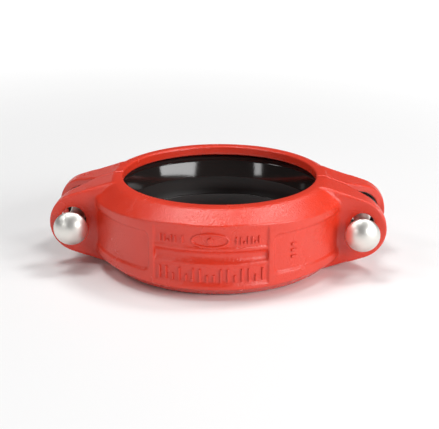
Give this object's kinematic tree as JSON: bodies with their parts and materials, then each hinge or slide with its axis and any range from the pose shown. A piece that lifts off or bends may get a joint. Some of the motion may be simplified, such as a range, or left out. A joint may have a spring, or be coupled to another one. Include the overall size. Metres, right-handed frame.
{
  "type": "grooved pipe coupling",
  "caption": "Cast split housing that clamps grooved pipe ends over a rubber gasket, drawn together by oval-neck bolts through side ears.",
  "frame": {"origin": "on the pipe axis, half way through the coupling, which is the centre of the bounding box", "axes": "+Z along the pipe axis; +X through one ear, the longest way; -Y towards the bolt heads, +Y towards the nuts"},
  "size_m": [0.1924, 0.145, 0.05],
  "materials": {
    "housing_paint": "satin salmon-red paint over a fine sand-cast texture",
    "gasket_rubber": "black moulded rubber with a soft gloss",
    "bolt_zinc": "bright zinc plate, slightly warm",
    "nut_zinc": "bright zinc plate"
  },
  "bodies": {
    "front_half": {"front_housing": "housing_paint", "gasket": "gasket_rubber"},
    "rear_half": {"rear_housing": "housing_paint"},
    "right_bolt_body": {"right_bolt": "bolt_zinc"},
    "right_nut_body": {"right_nut": "nut_zinc"},
    "left_bolt_body": {"left_bolt": "bolt_zinc"},
    "left_nut_body": {"left_nut": "nut_zinc"}
  },
  "joints": [
    {"name": "halves_part", "type": "slide", "parent": "front_half", "child": "rear_half", "axis": [0, 1, 0], "range_m": [0, 0.004]},
    {"name": "right_nut_turn", "type": "hinge", "parent": "rear_half", "child": "right_nut_body", "pos_m": [0.0825, 0.026, 0], "axis": [0, -1, 0], "range_deg": [-1080, 1080]},
    {"name": "right_bolt_draw", "type": "slide", "parent": "rear_half", "child": "right_bolt_body", "axis": [0, 1, 0], "range_m": [-0.0045, 0.0045]},
    {"name": "left_nut_turn", "type": "hinge", "parent": "rear_half", "child": "left_nut_body", "pos_m": [-0.0825, 0.026, 0], "axis": [0, -1, 0], "range_deg": [-1080, 1080]},
    {"name": "left_bolt_draw", "type": "slide", "parent": "rear_half", "child": "left_bolt_body", "axis": [0, 1, 0], "range_m": [-0.0045, 0.0045]}
  ],
  "couplings": [
    {"joint": "right_nut_turn", "follows": "right_bolt_draw", "rad_per_m": 4188.8},
    {"joint": "left_nut_turn", "follows": "left_bolt_draw", "rad_per_m": 4188.8}
  ]
}
